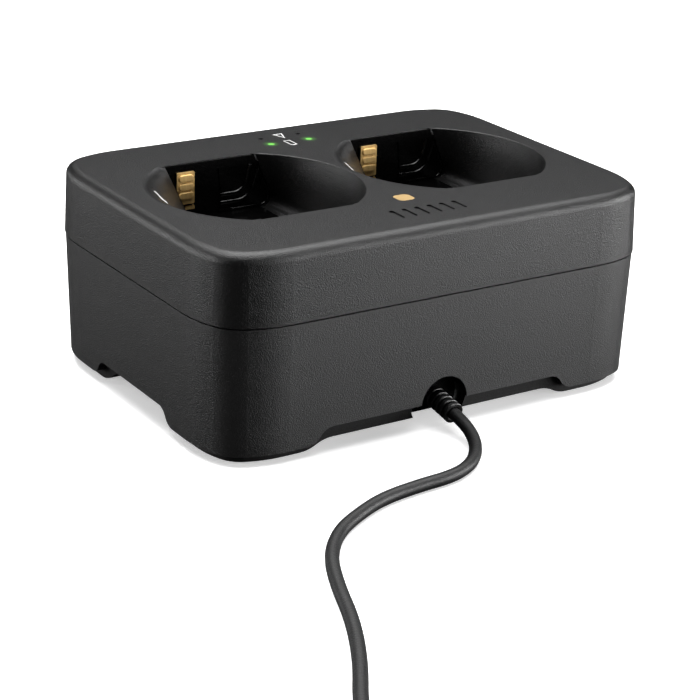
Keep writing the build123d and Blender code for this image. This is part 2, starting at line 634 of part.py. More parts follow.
def base_plate():
    inset = LOWER_TAPER + WALL + BASE_GAP
    tray = soft_body((inset + BASE_LEAN, BASE_BOTTOM_Z), (inset, BASE_TOP_Z))
    hollow = inset + BASE_BAND
    tray -= soft_body((hollow, BASE_PLATE_Z[1]), (hollow, BASE_TOP_Z + 1))
    rear_foot, rear_top, rear_rise = BASE_REAR_TUNNEL
    side_foot, side_top, side_rise = BASE_SIDE_TUNNEL
    under = arch_cut(arch_profile(rear_foot, rear_top, rear_rise, BASE_BOTTOM_Z, -1), along_x=False)
    under += arch_cut(arch_profile(side_foot, side_top, side_rise, BASE_BOTTOM_Z, -1), along_x=True)
    tray -= under
    tray -= Pos(0, 0, BASE_PLATE_Z[0] / 2) * Box(2 * rear_top, DEPTH - 2 * hollow, BASE_PLATE_Z[0])
    tray -= cable_notch()
    for x, y in four_signs(*BASE_SCREW):
        tray -= post(x, y, (0, BASE_TOP_Z), 1.4)
        tray -= post(x, y, (0, BASE_PLATE_Z[0]), 3.2)
    for x, y in four_signs(*FOOT_PAD):
        tray -= post(x, y, (0, BASE_BOTTOM_Z + FOOT_PAD_DEEP), FOOT_PAD_R + FIT)
    return tray


def cable_notch():
    """Flared notch through the rear band, and room round the cable clamp."""
    points = [(-6.8, BASE_TOP_Z + 1), (-8.4, -1), (8.4, -1), (6.8, BASE_TOP_Z + 1)]
    profile = make_face(Polyline(*points, close=True))
    notch = Pos(EXIT_X, DEPTH / 2 + 5, 0) * extrude(Rot(90, 0, 0) * profile, 40)
    notch += rod_y(EXIT_X, (GLAND_WALL_Y[1], DEPTH / 2), EXIT_Z, BASE_NOTCH_R)
    room = block((EXIT_X - 12.5, EXIT_X + 12.5), (22.0, GLAND_WALL_Y[1] + 0.3), (-1, BASE_TOP_Z + 1))
    return notch + room


def rubber_feet():
    top = BASE_BOTTOM_Z + FOOT_PAD_DEEP
    pads = []
    for x, y in four_signs(*FOOT_PAD):
        pad = post(x, y, (0, top), FOOT_PAD_R)
        pads.append(fillet(pad.edges().group_by(Axis.Z)[0], 0.3))
    return pads


def base_screws():
    z = BASE_PLATE_Z[0] - FIT
    return [Pos(x, y, z) * screw(2.9, 1.8, 1.05, 9.0) for x, y in four_signs(*BASE_SCREW)]


# ---- Boards and lights ------------------------------------------------------

def main_board():
    length, width, thick = BOARD_SIZE
    board = Pos(0, BOARD_Y, BOARD_Z + FIT + thick / 2) * Box(length, width, thick)
    board = fillet(board.edges().filter_by(Axis.Z), 2.0)
    for x, y in four_signs(*BOARD_SCREW):
        board -= post(x, BOARD_Y + y, (BOARD_Z - 1, BOARD_Z + 4), 1.3)
    return board


def board_screws():
    flip = Rot(180, 0, 0)
    z = BOARD_TOP_Z + FIT
    return [Pos(x, BOARD_Y + y, z) * flip * screw(2.6, 1.6, 0.95, 5.5) for x, y in four_signs(*BOARD_SCREW)]


def on_board(x, y, size):
    """Box that stands on the main board."""
    return Pos(x, y, BOARD_TOP_Z + size[2] / 2) * Box(*size)


def charger_chips():
    small = [on_board(s * 24.0, -12.0, (7.0, 7.0, 1.0)) for s in (-1, 1)]
    return small + [on_board(0, -22.0, (9.0, 9.0, 1.0))]


def power_inductors():
    cases = [on_board(s * 37.0, -10.0, (8.0, 8.0, 4.0)) for s in (-1, 1)]
    return [fillet(case.edges().filter_by(Axis.Z), 1.2) for case in cases]


def capacitors():
    cans = []
    for x in (-14.0, 14.0):
        can = post(x, 2.0, (BOARD_TOP_Z, BOARD_TOP_Z + 7.0), 3.15)
        cans.append(fillet(can.edges().group_by(Axis.Z)[-1], 0.5))
    return cans


def cable_header():
    """Socket at the board's rear edge that the lead plugs into."""
    body = on_board(EXIT_X, HEADER_Y, (11.0, 6.0, 5.5))
    return body - block((EXIT_X - 4.5, EXIT_X + 4.5), (HEADER_Y - 1, HEADER_Y + 4),
                        (HEADER_Z - 1.75, HEADER_Z + 1.75))


def cable_housing():
    """Crimp housing on the lead's inner end, pushed into the header."""
    return block((EXIT_X - 4.4, EXIT_X + 4.4), (HEADER_Y - 0.9, HEADER_Y + 5),
                 (HEADER_Z - 1.65, HEADER_Z + 1.65))


def light_board():
    length, width, thick = LIGHT_BOARD
    board = Pos(0, LIGHT_BOARD_Y, LIGHT_BOARD_Z + thick / 2 - FIT) * Box(length, width, thick)
    for side in (-1, 1):
        board -= post(side * LIGHT_POST_X, LIGHT_BOARD_Y, (LIGHT_BOARD_Z - 1, LIGHT_BOARD_Z + 3), 1.1)
    return board


def light_board_screws():
    z = LIGHT_BOARD_Z - 2 * FIT
    return [Pos(s * LIGHT_POST_X, LIGHT_BOARD_Y, z) * screw(1.9, 1.2, 0.75, 4.5) for s in (-1, 1)]


def light_places():
    """The four status lights, as (x, y, lens radius)."""
    charge = [(x, CHARGE_LIGHT_Y, CHARGE_LENS_R) for x in LIGHT_X]
    fault = [(x, FAULT_LIGHT_Y, FAULT_LENS_R) for x in LIGHT_X]
    return charge, fault


def light_emitters():
    z = LIGHT_BOARD_Z + LIGHT_BOARD[2] - FIT + LED_SIZE[2] / 2
    charge, fault = light_places()
    return [Pos(x, y, z) * Box(*LED_SIZE) for x, y, radius in charge + fault]


def lenses(places, drop):
    """Light guides from just above each emitter to just under the top face."""
    low = LIGHT_BOARD_Z + LIGHT_BOARD[2] + LED_SIZE[2] + 0.1
    guides = []
    for x, y, radius in places:
        head = post(x, y, (low, TOP_Z - drop), radius)
        collar = post(x, y, (low, TOP_Z - TOP_SKIN - FIT), radius + 0.5)
        guides.append(head + collar)
    return guides


def wire(points, radius, wire_r):
    """Insulated wire along straight runs joined by arcs."""
    path = FilletPolyline(*points, radius=radius)
    return sweep(Plane(path @ 0, z_dir=path % 0) * Circle(wire_r), path)


def light_harness():
    """Four wires between the two boards."""
    wires = []
    for index in range(4):
        x = -1.8 + 1.2 * index
        points = [
            (x, -33.0, BOARD_TOP_Z + 0.1),
            (x, -33.0, 27.0),
            (x, -38.0, 38.0),
            (x, -38.0, LIGHT_BOARD_Z - FIT - 0.1),
        ]
        wires.append(wire(points, 5.0, 0.5))
    return wires


def bay_harness():
    """Two wires from the main board to each sprung contact."""
    wires = []
    for centre_x in (-BAY_X, BAY_X):
        for offset in (-1.5, 1.5):
            x = centre_x + CONTACT_DX + offset
            end_y = spring_seat_y() + CARRIER_FLANGE / 2
            points = [
                (x, end_y - 2.2, BOARD_TOP_Z + 0.1),
                (x, end_y - 2.2, 26.0),
                (x, end_y, 34.0),
                (x, end_y, TOP_Z - TAB_DROP[1] - CARRIER_MARGIN - 0.4),
            ]
            wires.append(wire(points, 4.0, 0.5))
    return wires


# ---- Lead -------------------------------------------------------------------

def strain_relief():
    """Ribbed sleeve from its flange, inside the housing, to its open collar."""
    flange = rod_y(EXIT_X, (GLAND_WALL_Y[0] - 1.6, GLAND_WALL_Y[0] - FIT), EXIT_Z, 4.2)
    wall_y = GLAND_WALL_Y[1]
    neck = rod_y(EXIT_X, (GLAND_WALL_Y[0] - 1, wall_y + 0.3), EXIT_Z, RELIEF_NECK_R)
    sleeve = rod_y(EXIT_X, (wall_y, RELIEF_END_Y - 1), EXIT_Z, RELIEF_CORE_R)
    first, last = wall_y + 2 * FIT + RELIEF_R * sin(radians(RELIEF_DROOP)), RELIEF_END_Y
    pitch = (last - first) / (RELIEF_RIBS + 0.6)
    for index in range(RELIEF_RIBS):
        start = first + index * pitch
        rib = rod_y(EXIT_X, (start, start + 0.62 * pitch), EXIT_Z, RELIEF_R)
        sleeve += fillet(rib.edges().filter_by(GeomType.CIRCLE), 0.3)
    collar = rod_y(EXIT_X, (last - 0.6 * pitch, last), EXIT_Z, RELIEF_R)
    sleeve += fillet(collar.edges().filter_by(GeomType.CIRCLE), 0.2)
    sleeve -= rod_y(EXIT_X, (last - RELIEF_CUP, last + 1), EXIT_Z, CORD_D / 2 + 0.35)
    hung = Pos(0, wall_y, EXIT_Z) * Rot(-RELIEF_DROOP, 0, 0) * Pos(0, -wall_y, -EXIT_Z) * sleeve
    return flange + neck + hung


def inner_cable():
    """The lead inside the housing, from the sleeve's flange to its crimp housing."""
    points = [
        (EXIT_X, GLAND_WALL_Y[0] - 1.6, EXIT_Z),
        (EXIT_X, 35.0, EXIT_Z),
        (EXIT_X, 28.6, 11.2),
        (EXIT_X, 23.4, 17.6),
        (EXIT_X, 19.2, HEADER_Z),
        (EXIT_X, HEADER_Y + 5, HEADER_Z),
    ]
    return wire(points, bend_radii(points), 1.6)


def cable_clamp():
    """Bar under the inner cable, screwed up to two posts."""
    x = clamp_post_x()
    top = CLAMP_TOP_Z
    bar = block((x[0] - 2.6, x[1] + 2.6), (CLAMP_Y - 2.6, CLAMP_Y + 2.6), (top - 2.0, top))
    bar = fillet(bar.edges().filter_by(Axis.Z), 1.2)
    for place in x:
        bar -= post(place, CLAMP_Y, (top - 3, top + 1), 1.1)
    return bar


def clamp_screws():
    z = CLAMP_TOP_Z - 2.0 - FIT
    return [Pos(x, CLAMP_Y, z) * screw(1.9, 1.2, 0.75, 6.0) for x in clamp_post_x()]


def bend_radii(points):
    """Arc radius for each inner point of a route: as large as its two runs allow."""
    route = [Vector(*p) for p in points]
    radii = []
    for before, here, after in zip(route, route[1:], route[2:]):
        half_turn = radians((here - before).get_angle(after - here)) / 2
        shorter = min((here - before).length, (after - here).length)
        radii.append(0.45 * shorter / tan(half_turn))
    return radii


def cord_tube(name, points):
    radii = bend_radii(points)
    path = FilletPolyline(*points, radius=radii)
    tube = sweep(Plane(path @ 0, z_dir=path % 0) * Circle(CORD_D / 2), path)
    expected = pi * (CORD_D / 2) ** 2 * path.length
    print(f"{name}: length {path.length:.1f}, volume {tube.volume:.1f} of {expected:.1f}")
    print(f"{name}: radii", " ".join(f"{r:.1f}" for r in radii))
    return tube


def cord_coil():
    """The outer shape of the whole coil, as one closed ring."""
    half_width = CORD_D * COIL_TURNS_WIDE / 2
    height = CORD_D * COIL_TURNS_HIGH
    ring = Cylinder(COIL_MEAN_R + half_width, height) - Cylinder(COIL_MEAN_R - half_width, height)
    ring = fillet(ring.edges(), CORD_D / 2 - 0.1)
    return Pos(*COIL_CENTRE, COIL_LIFT + height / 2) * ring


def coil_tie():
    """Closed band round the coil's section."""
    half_width = CORD_D * COIL_TURNS_WIDE / 2
    height = CORD_D * COIL_TURNS_HIGH
    outer = RectangleRounded(2 * (half_width + TIE_BAND), height + 2 * TIE_BAND, 1.9)
    inner = RectangleRounded(2 * half_width + 0.04, height + 0.04, 1.5)
    section = Plane.XZ * Pos(COIL_MEAN_R, 0) * (outer - inner)
    ring = revolve(section, Axis.Z, TIE_TURN)
    return Pos(*COIL_CENTRE, COIL_LIFT + height / 2) * Rot(0, 0, TIE_ANGLE) * ring


# ---- Plug -------------------------------------------------------------------

def along_x(section, x):
    """Solid of a section in YZ between two values of X."""
    return Pos(x[0], 0, 0) * extrude(Plane.YZ * section, x[1] - x[0])


def on_plug(shape):
    """Moves a piece that is modelled along +X to the end of the tail."""
    end, before = Vector(*TAIL_ROUTE[-1]), Vector(*TAIL_ROUTE[-2])
    heading = end - before
    turn = degrees(atan2(heading.Y, heading.X))
    place = Pos(*TAIL_ROUTE[-1]) * Rot(0, 0, turn)
    if isinstance(shape, list):
        return [place * piece for piece in shape]
    return place * shape


def plug_body():
    """Moulded grip with a tapered boot and a socket that holds the metal shell."""
    boot_start, boot_end, boot_length = PLUG_BOOT
    boot = Pos(boot_length / 2, 0, 0) * Rot(0, 90, 0) * Cone(boot_start, boot_end, boot_length)
    length, width, height = PLUG_BODY
    grip = along_x(RectangleRounded(width, height, 2.2), (boot_length, PLUG_FACE_X))
    rims = grip.edges().group_by(Axis.X)
    grip = fillet(rims[0] + rims[-1], 0.8)
    socket = RectangleRounded(PLUG_SHELL[1] + FIT, PLUG_SHELL[2] + FIT, 0.6)
    return boot + grip - along_x(socket, (PLUG_FACE_X - PLUG_SHELL_ROOT, PLUG_FACE_X + 1))


def plug_shell():
    """Folded metal shell with a square window pair on each broad side."""
    length, width, height = PLUG_SHELL
    outer = RectangleRounded(width, height, 0.6)
    inner = RectangleRounded(width - 2 * PLUG_SHELL_WALL, height - 2 * PLUG_SHELL_WALL, 0.25)
    shell = along_x(outer - inner, (PLUG_FACE_X - PLUG_SHELL_ROOT, PLUG_FACE_X + length))
    for side in (-1, 1):
        window = Box(PLUG_WINDOW, PLUG_WINDOW, 2 * height)
        shell -= Pos(PLUG_FACE_X + PLUG_PIN_X - 1, side * width / 4, 0) * window
    return shell


def tongue_z():
    """Height of the contact face of the plug's tongue."""
    return PLUG_TONGUE + PLUG_SHELL_WALL - PLUG_SHELL[2] / 2


def plug_insulator():
    """Plastic tongue along the lower wall of the shell, with its solid root."""
    length, width, height = PLUG_SHELL
    side_gap = PLUG_SHELL_WALL + 3 * FIT
    half = width / 2 - side_gap
    low, high = side_gap - height / 2, height / 2 - side_gap
    start = PLUG_FACE_X - PLUG_SHELL_ROOT + FIT
    tongue = block((start, PLUG_FACE_X + length - 0.6), (-half, half), (low, tongue_z()))
    return tongue + block((start, PLUG_FACE_X + 0.4), (-half, half), (low, high))


def plug_contacts():
    """Four plated strips on the tongue: the outer two reach further forward."""
    strips = []
    for y, end in ((-3.5, 1.4), (-1.0, 2.4), (1.0, 2.4), (3.5, 1.4)):
        x = (PLUG_FACE_X + 0.5, PLUG_FACE_X + PLUG_SHELL[0] - end)
        strips.append(block(x, (y - 0.5, y + 0.5), (tongue_z() + 0.01, tongue_z() + 0.2)))
    return strips


def save(name, shape):
    """Writes one node; a list becomes a group of separate solids."""
    if isinstance(shape, (list, tuple)):
        shape = Compound(children=list(shape))
    export_step(shape, f"parts/{name}.step")


def main():
    os.makedirs("parts", exist_ok=True)
    save("upper_housing", upper_housing())
    save("lower_housing", lower_housing())
    save("base_plate", base_plate())
    save("rubber_feet", rubber_feet())
    save("base_screws", base_screws())
    for label, centre_x in (("left", BAY_X), ("right", -BAY_X)):
        save(f"{label}_bay_liner", bay_liner(centre_x))
        save(f"{label}_contact_strip", contact_strip(centre_x))
        save(f"{label}_contact_carrier", contact_carrier(centre_x))
        save(f"{label}_contact_spring", contact_spring(centre_x))
        save(f"{label}_spring_bracket", spring_bracket(centre_x))
    save("liner_screws", liner_screws())
    save("main_board", main_board())
    save("board_screws", board_screws())
    save("charger_chips", charger_chips())
    save("power_inductors", power_inductors())
    save("capacitors", capacitors())
    save("cable_header", cable_header())
    save("cable_housing", cable_housing())
    save("light_board", light_board())
    save("light_board_screws", light_board_screws())
    save("light_emitters", light_emitters())
    charge, fault = light_places()
    save("charge_lenses", lenses(charge, 0.05))
    save("fault_lenses", lenses(fault, 0.35))
    save("light_harness", light_harness())
    save("bay_harness", bay_harness())
    save("badge_inlay", Pos(0, BADGE_Y, TOP_Z) * badge_blank(BADGE_SIDE, 1.5))
    save("strain_relief", strain_relief())
    save("inner_cable", inner_cable())
    save("cable_clamp", cable_clamp())
    save("clamp_screws", clamp_screws())
    save("cord_run", cord_tube("cord_run", CORD_ROUTE))
    save("cord_coil", cord_coil())
    save("coil_tie", coil_tie())
    save("cord_tail", cord_tube("cord_tail", TAIL_ROUTE))
    save("plug_body", on_plug(plug_body()))
    save("plug_shell", on_plug(plug_shell()))
    save("plug_insulator", on_plug(plug_insulator()))
    save("plug_contacts", on_plug(plug_contacts()))


main()
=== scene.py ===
from math import cos, radians, sin

import bmesh
import bpy
from mathutils import Matrix, Vector


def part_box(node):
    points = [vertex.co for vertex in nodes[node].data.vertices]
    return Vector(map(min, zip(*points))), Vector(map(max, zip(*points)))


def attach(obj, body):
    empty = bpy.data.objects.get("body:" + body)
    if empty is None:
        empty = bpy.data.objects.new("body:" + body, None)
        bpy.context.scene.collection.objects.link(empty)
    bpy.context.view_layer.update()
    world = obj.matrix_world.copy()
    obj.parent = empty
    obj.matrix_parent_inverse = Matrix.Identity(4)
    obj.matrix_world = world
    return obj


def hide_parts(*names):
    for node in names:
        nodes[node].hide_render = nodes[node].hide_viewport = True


# A two-bay charging dock with a captive lead. Metres, +Z up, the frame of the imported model.

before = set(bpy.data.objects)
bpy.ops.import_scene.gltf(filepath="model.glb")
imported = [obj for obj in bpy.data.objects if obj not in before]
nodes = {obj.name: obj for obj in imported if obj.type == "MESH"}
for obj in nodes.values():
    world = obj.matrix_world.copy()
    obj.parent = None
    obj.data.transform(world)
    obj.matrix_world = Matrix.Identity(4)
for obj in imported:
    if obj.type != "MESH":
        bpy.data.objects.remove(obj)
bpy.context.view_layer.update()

MM = 0.001

# ---- Camera -----------------------------------------------------------------
CAMERA_TARGET = Vector((-3.74, -1.29, 8.18)) * MM
CAMERA_DISTANCE = 592.05 * MM
CAMERA_AZIMUTH = radians(146.592)
CAMERA_ELEVATION = radians(21.11)
CAMERA_ROLL = radians(1.984)
CAMERA_LENS = 105.2
CAMERA_SHIFT = (-0.0053, -0.0225)

# ---- Lead -------------------------------------------------------------------
CORD_D = 0.0035
CORD_ROUTE = [
    (0.0005, 0.054454, 0.005633),
    (0.0005, 0.059181, 0.004799),
    (0.0012, 0.0650, 0.0032),
    (0.0044, 0.0712, 0.0019),
    (0.0106, 0.0772, 0.00175),
    (0.0186, 0.0807, 0.00175),
    (0.0295, 0.0812, 0.00175),
    (0.0415, 0.0830, 0.00175),
    (0.0515, 0.0874, 0.00175),
    (0.0610, 0.0932, 0.00175),
    (0.0692, 0.1026, 0.00175),
    (0.0754, 0.1156, 0.00175),
    (0.0812, 0.1312, 0.00175),
    (0.0894, 0.1470, 0.00175),
    (0.0994, 0.1622, 0.00185),
    (0.1071, 0.17906, 0.0021),
    (0.11292, 0.19504, 0.00235),
]
TAIL_ROUTE = [
    (0.12325, 0.20735, 0.00585),
    (0.1296, 0.2110, 0.0056),
    (0.1382, 0.2138, 0.0040),
    (0.1476, 0.2142, 0.0022),
    (0.1566, 0.2114, 0.00175),
    (0.1638, 0.2056, 0.0026),
    (0.1694, 0.1994, 0.0040),
    (0.1744, 0.1933, 0.0040),
]
COIL_CENTRE = (0.135, 0.187)
COIL_RADII = (0.0235, 0.020, 0.0165)     # turns of the lower layer, from the outside in
COIL_LIFT = 0.0006
COIL_START = 160.0       # degrees, where the lead joins the lower outer turn
COIL_END_TURN = 40.0     # degrees of the last, outer turn before the tail leaves
COIL_STEP = 15.0
COIL_SHIFT = 60.0        # degrees at the end of each turn in which the next radius is taken


def make_camera():
    a, e, r = CAMERA_AZIMUTH, CAMERA_ELEVATION, CAMERA_ROLL
    back = Vector((sin(a) * cos(e), -cos(a) * cos(e), sin(e)))
    right = Vector((0, 0, 1)).cross(back).normalized()
    up = back.cross(right)
    rolled_right = cos(r) * right + sin(r) * up
    rolled_up = cos(r) * up - sin(r) * right
    camera = bpy.data.objects.new("camera", bpy.data.cameras.new("camera"))
    camera.data.lens = CAMERA_LENS
    camera.data.shift_x, camera.data.shift_y = CAMERA_SHIFT
    place = Matrix((rolled_right, rolled_up, back)).transposed().to_4x4()
    place.translation = CAMERA_TARGET + back * CAMERA_DISTANCE
    camera.matrix_world = place
    bpy.context.scene.collection.objects.link(camera)
    bpy.context.scene.camera = camera


def smooth_step(t):
    t = min(max(t, 0.0), 1.0)
    return t * t * (3 - 2 * t)


def coil_points():
    """Control points of the wound turns: the lower layer inwards, then the upper one outwards."""
    radii = COIL_RADII + COIL_RADII[::-1]
    low = COIL_LIFT + CORD_D / 2
    high = COIL_LIFT + 1.5 * CORD_D
    levels = [low] * len(COIL_RADII) + [high] * len(COIL_RADII)
    total = 360.0 * (len(radii) - 1) + COIL_END_TURN
    outside = 1 / cos(radians(COIL_STEP / 2))
    points = []
    for index in range(1, int(total / COIL_STEP)):
        wound = index * COIL_STEP
        turn = int(wound // 360)
        share = smooth_step((wound % 360 - (360 - COIL_SHIFT)) / COIL_SHIFT)
        after = min(turn + 1, len(radii) - 1)
        radius = (radii[turn] + (radii[after] - radii[turn]) * share) * outside
        level = levels[turn] + (levels[after] - levels[turn]) * share
        angle = radians(COIL_START - wound)
        x = COIL_CENTRE[0] + radius * cos(angle)
        y = COIL_CENTRE[1] + radius * sin(angle)
        points.append((x, y, level))
    return points


def make_cord():
    curve = bpy.data.curves.new("lead", "CURVE")
    curve.dimensions = "3D"
    curve.resolution_u = 8
    curve.bevel_depth = 1.0      # of each point's radius
    curve.bevel_resolution = 5
    curve.use_fill_caps = True
    points = CORD_ROUTE + coil_points() + TAIL_ROUTE
    spline = curve.splines.new("NURBS")
    spline.points.add(len(points) - 1)
    for point, place in zip(spline.points, points):
        point.co = (*place, 1.0)
        point.radius = CORD_D / 2
    spline.order_u = 3
    spline.use_endpoint_u = True
    lead = bpy.data.objects.new("lead", curve)
    bpy.context.scene.collection.objects.link(lead)
    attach(lead, "dock")
    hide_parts("cord_run", "cord_coil", "cord_tail")
    return lead


# ---- Materials --------------------------------------------------------------
TONE_SCALE = 900.0       # features a metre of a plastic's slow changes of tone
GRAIN_DEPTH = 0.14 * MM
GRAIN_SPREAD = 0.05      # of a plastic's roughness, either way
LINE_DEPTH = 0.03 * MM
LINE_STRENGTH = 0.2
LINE_SPREAD = 0.06       # of a metal's roughness, either way
LENS_ROUGHNESS = 0.25
CHARGE_GREEN = (0.28, 0.95, 0.15)
# painted glow of the lit charge lights on the housing round their lenses
HALO_REACH = 3.2 * MM
HALO_STRENGTH = 0.28
EXIT_AXIS = (0.5 * MM, 0.0, 7.3 * MM)    # of the round recess that the lead leaves by
EXIT_R = 7.3 * MM
EXIT_FADE = (0.02 * MM, 0.06 * MM)       # past the radius, where the painted shade ends and the shine comes back
RECESS_PAINTED_SHADE_SHINE = (0.02, 0.72)                # shine inside the recess, nearly none there as painted shade, and outside it


def shader_of(material):
    return material.node_tree.nodes["Principled BSDF"]


def new_material(name, color, roughness, metallic=0.0):
    """Material with one colour and roughness, until something is linked to its shader."""
    material = bpy.data.materials.new(name)
    material.use_nodes = True
    shader = shader_of(material)
    shader.inputs["Base Color"].default_value = (*color, 1.0)
    shader.inputs["Roughness"].default_value = roughness
    shader.inputs["Metallic"].default_value = metallic
    return material


def add_node(material, kind, **settings):
    node = material.node_tree.nodes.new(kind)
    for name, value in settings.items():
        setattr(node, name, value)
    return node


def frame_place(material):
    """Place of a surface point in the frame."""
    return add_node(material, "ShaderNodeTexCoord").outputs["Object"]


def noise(material, scale, detail, stretch=(1, 1, 1)):
    """Noise in the frame's own coordinates: its value, with about scale features a metre."""
    links = material.node_tree.links
    mapping = add_node(material, "ShaderNodeMapping")
    mapping.inputs["Scale"].default_value = stretch
    texture = add_node(material, "ShaderNodeTexNoise")
    texture.inputs["Scale"].default_value = scale
    texture.inputs["Detail"].default_value = detail
    links.new(frame_place(material), mapping.inputs["Vector"])
    links.new(mapping.outputs["Vector"], texture.inputs["Vector"])
    return texture.outputs["Fac"]


def mapped(material, value, low, high, source=(0.3, 0.7)):
    """Value in the source range mapped between two numbers."""
    node = add_node(material, "ShaderNodeMapRange")
    node.inputs["From Min"].default_value, node.inputs["From Max"].default_value = source
    node.inputs["To Min"].default_value = low
    node.inputs["To Max"].default_value = high
    material.node_tree.links.new(value, node.inputs["Value"])
    return node.outputs["Result"]


def distance_from(material, place, centre):
    """Distance of a point, given as a node's output, from a fixed centre."""
    away = add_node(material, "ShaderNodeVectorMath", operation="DISTANCE")
    away.inputs[1].default_value = centre
    material.node_tree.links.new(place, away.inputs[0])
    return away.outputs["Value"]


def tint(material, value, dark, light):
    """Base colour between two colours."""
    node = add_node(material, "ShaderNodeValToRGB")
    node.color_ramp.elements[0].position = 0.3
    node.color_ramp.elements[0].color = (*dark, 1)
    node.color_ramp.elements[1].position = 0.7
    node.color_ramp.elements[1].color = (*light, 1)
    links = material.node_tree.links
    links.new(value, node.inputs["Fac"])
    links.new(node.outputs["Color"], shader_of(material).inputs["Base Color"])


def vary_roughness(material, value, roughness, spread):
    rough = mapped(material, value, roughness - spread, roughness + spread)
    material.node_tree.links.new(rough, shader_of(material).inputs["Roughness"])


def bump(material, value, strength, depth):
    node = add_node(material, "ShaderNodeBump")
    node.inputs["Strength"].default_value = strength
    node.inputs["Distance"].default_value = depth
    links = material.node_tree.links
    links.new(value, node.inputs["Height"])
    links.new(node.outputs["Normal"], shader_of(material).inputs["Normal"])


def plastic(name, dark, light, roughness, grain=2600.0, strength=0.35, shine=0.5):
    """Moulded plastic: fine spark-eroded grain, with slow changes of tone."""
    material = new_material(name, light, roughness)
    shader_of(material).inputs["Specular IOR Level"].default_value = shine
    fine = noise(material, grain, 3.0)
    tint(material, noise(material, TONE_SCALE, 4.0), dark, light)
    vary_roughness(material, fine, roughness, GRAIN_SPREAD)
    bump(material, fine, strength, GRAIN_DEPTH)
    return material


def metal(name, dark, light, roughness, metallic, stretch=(1, 1, 1)):
    """Plated or bare metal with fine lines; a lower metallic value is a duller plating."""
    material = new_material(name, light, roughness, metallic)
    lines = noise(material, 1500.0, 3.0, stretch)
    tint(material, lines, dark, light)
    vary_roughness(material, lines, roughness, LINE_SPREAD)
    bump(material, lines, LINE_STRENGTH, LINE_DEPTH)
    return material


def glowing(name, base, light, strength):
    """Smooth lens with a light of its own."""
    material = new_material(name, base, LENS_ROUGHNESS)
    shader = shader_of(material)
    shader.inputs["Emission Color"].default_value = (*light, 1.0)
    shader.inputs["Emission Strength"].default_value = strength
    return material


def add_painted_halo(material, places, reach, light, strength):
    """Painted glow round each of two places, as of light that bleeds into the material, fading out at reach.
    """
    links = material.node_tree.links
    both = add_node(material, "ShaderNodeMath", operation="ADD")
    for index, place in enumerate(places):
        fade = add_node(material, "ShaderNodeMapRange", interpolation_type="SMOOTHERSTEP")
        fade.inputs["From Min"].default_value = reach
        fade.inputs["From Max"].default_value = 0.0
        fade.inputs["To Max"].default_value = strength
        links.new(distance_from(material, frame_place(material), place), fade.inputs["Value"])
        links.new(fade.outputs["Result"], both.inputs[index])
    shader = shader_of(material)
    shader.inputs["Emission Color"].default_value = (*light, 1.0)
    links.new(both.outputs["Value"], shader.inputs["Emission Strength"])


def paint_recess_shade(material, axis, radius):
    """Painted shade: almost no shine inside a round recess along Y, so that it renders dark."""
    links = material.node_tree.links
    flat = add_node(material, "ShaderNodeVectorMath", operation="MULTIPLY")
    flat.inputs[1].default_value = (1, 0, 1)
    links.new(frame_place(material), flat.inputs[0])
    away = distance_from(material, flat.outputs["Vector"], axis)
    edge = (radius + EXIT_FADE[0], radius + EXIT_FADE[1])
    shine = mapped(material, away, *RECESS_PAINTED_SHADE_SHINE, edge)
    links.new(shine, shader_of(material).inputs["Specular IOR Level"])


def lens_places(name):
    """Middles of the upper ends of a node's two lenses."""
    low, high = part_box(name)
    radius = (high[1] - low[1]) / 2
    return [(x, low[1] + radius, high[2]) for x in (low[0] + radius, high[0] - radius)]


def dress(material, *names):
    for name in names:
        nodes[name].data.materials.clear()
        nodes[name].data.materials.append(material)


def dress_upper_housing():
    housing = plastic("housing_plastic", (0.0018, 0.0018, 0.0019), (0.0036, 0.0036, 0.0038),
                      roughness=0.37, grain=3600.0, strength=1.0)
    # painted glow: the housing itself gives light round the charge lenses
    add_painted_halo(housing, lens_places("charge_lenses"), HALO_REACH, CHARGE_GREEN, HALO_STRENGTH)
    dress(housing, "upper_housing")


def dress_lower_housing():
    skirt = plastic("skirt_plastic", (0.0018, 0.0018, 0.0019), (0.0040, 0.0040, 0.0042),
                    roughness=0.42, grain=3600.0, strength=1.0)
    # painted shade: the recess that the lead leaves by is kept dark by taking away its shine
    paint_recess_shade(skirt, EXIT_AXIS, EXIT_R)
    dress(skirt, "lower_housing")


def dress_liners():
    liner = plastic("liner_plastic", (0.0008, 0.0008, 0.0008), (0.0016, 0.0016, 0.0016),
                    roughness=0.16, grain=1400.0)
    dress(liner, "left_bay_liner", "right_bay_liner")


def dress_base():
    """Base tray, and the small black mouldings."""
    base = plastic("base_plastic", (0.001, 0.001, 0.001), (0.002, 0.002, 0.002),
                   roughness=0.6, shine=0.34)
    dress(base, "base_plate", "cable_clamp", "left_contact_carrier", "right_contact_carrier",
          "left_spring_bracket", "right_spring_bracket", "charger_chips", "power_inductors", "plug_body")


def dress_rubber():
    rubber = plastic("rubber", (0.010, 0.010, 0.010), (0.016, 0.016, 0.016),
                     roughness=0.6, grain=1800.0, strength=0.5)
    relief = plastic("relief_rubber", (0.002, 0.002, 0.002), (0.004, 0.004, 0.004),
                     roughness=0.32, grain=1800.0, strength=0.2, shine=1.0)
    dress(rubber, "rubber_feet", "coil_tie")
    dress(relief, "strain_relief")


def dress_cables(lead):
    jacket = plastic("jacket", (0.002, 0.002, 0.0022), (0.004, 0.004, 0.0043),
                     roughness=0.50, grain=1800.0, strength=0.8)
    dress(jacket, "inner_cable", "light_harness", "bay_harness")
    lead.data.materials.append(jacket)


def dress_gold():
    gold = metal("contact_gold", (0.74, 0.47, 0.17), (0.90, 0.62, 0.25),
                 roughness=0.50, metallic=0.55, stretch=(1, 1, 0.1))
    badge = metal("badge_gold", (0.42, 0.285, 0.12), (0.47, 0.32, 0.137),
                  roughness=0.45, metallic=0.25, stretch=(0.08, 1, 1))
    dress(gold, "left_contact_strip", "right_contact_strip", "plug_contacts")
    dress(badge, "badge_inlay")


